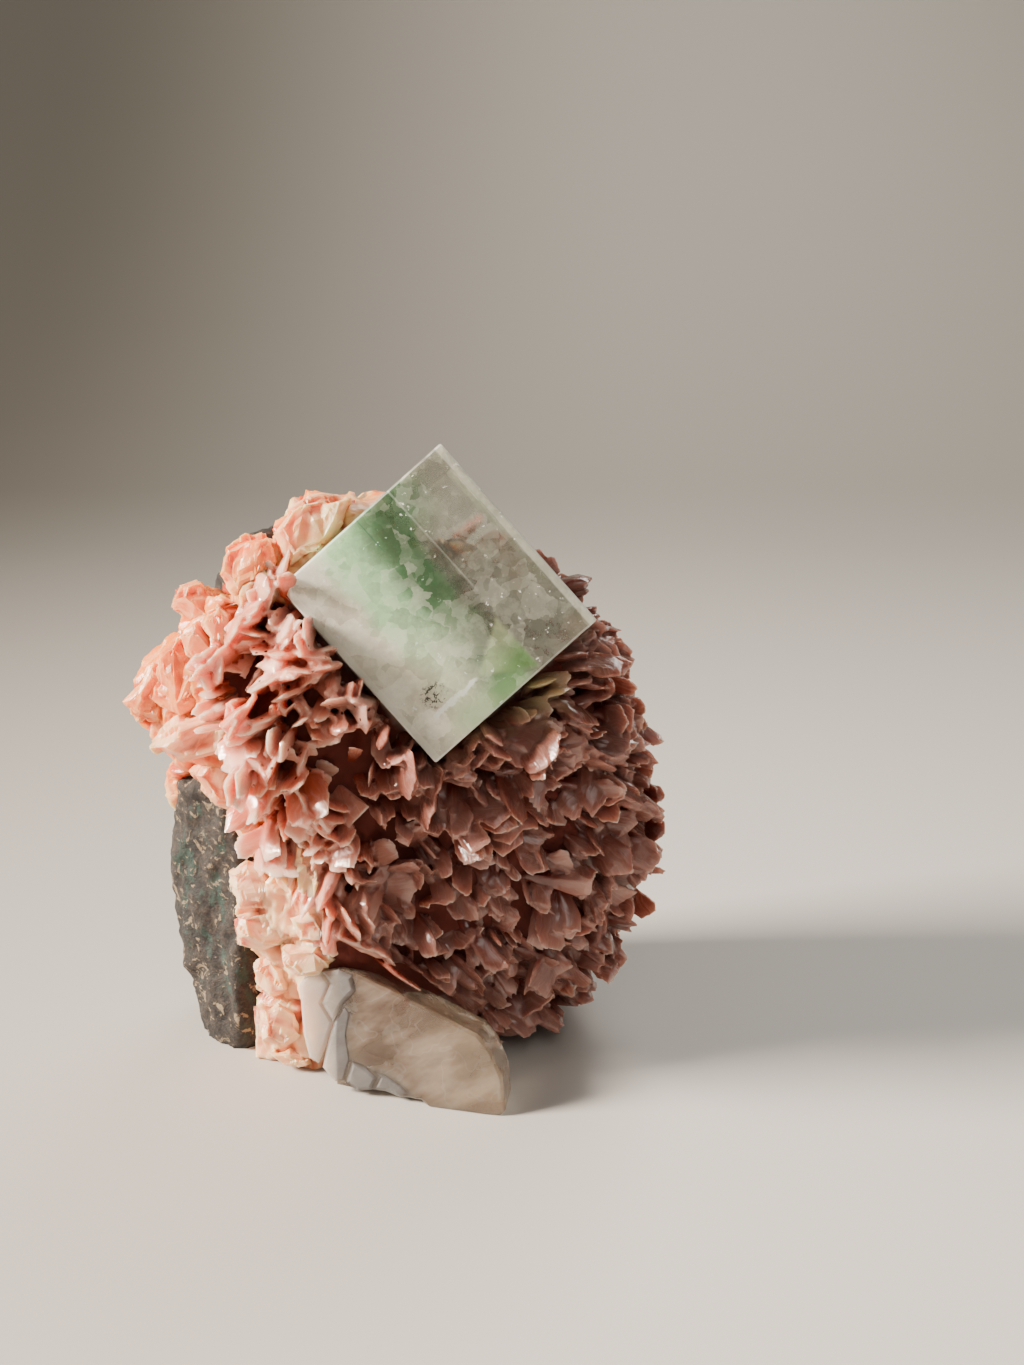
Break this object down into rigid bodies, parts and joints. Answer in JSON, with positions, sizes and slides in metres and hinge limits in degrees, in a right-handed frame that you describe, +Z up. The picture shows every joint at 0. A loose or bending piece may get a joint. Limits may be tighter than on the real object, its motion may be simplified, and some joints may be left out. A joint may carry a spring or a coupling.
{
  "type": "apophyllite cluster",
  "caption": "Mineral specimen: clear, green-banded apophyllite crystal on a druse of pink stilbite blades over basalt, with a pale see-through blade at its foot.",
  "frame": {"origin": "under the middle of the specimen's bounding box, on the surface that it stands on", "axes": "+Z up, -Y toward the front, where the clear crystal faces, and +X to the right as seen from the front"},
  "size_m": [0.0457, 0.0287, 0.0526],
  "materials": {
    "basalt": "rough, grey-brown, with cream, teal and black patches",
    "pink_stilbite": "glassy to pearly blades, salmon to peach where the crust is broken through",
    "apophyllite": "clear and glassy, with a green band and cloudy veils inside",
    "pale_stilbite": "glassy, see-through, warm white"
  },
  "bodies": {
    "root": {"basalt_matrix": "basalt", "stilbite_druse": "pink_stilbite", "apophyllite_crystal": "apophyllite", "stilbite_blade": "pale_stilbite"}
  },
  "joints": []
}
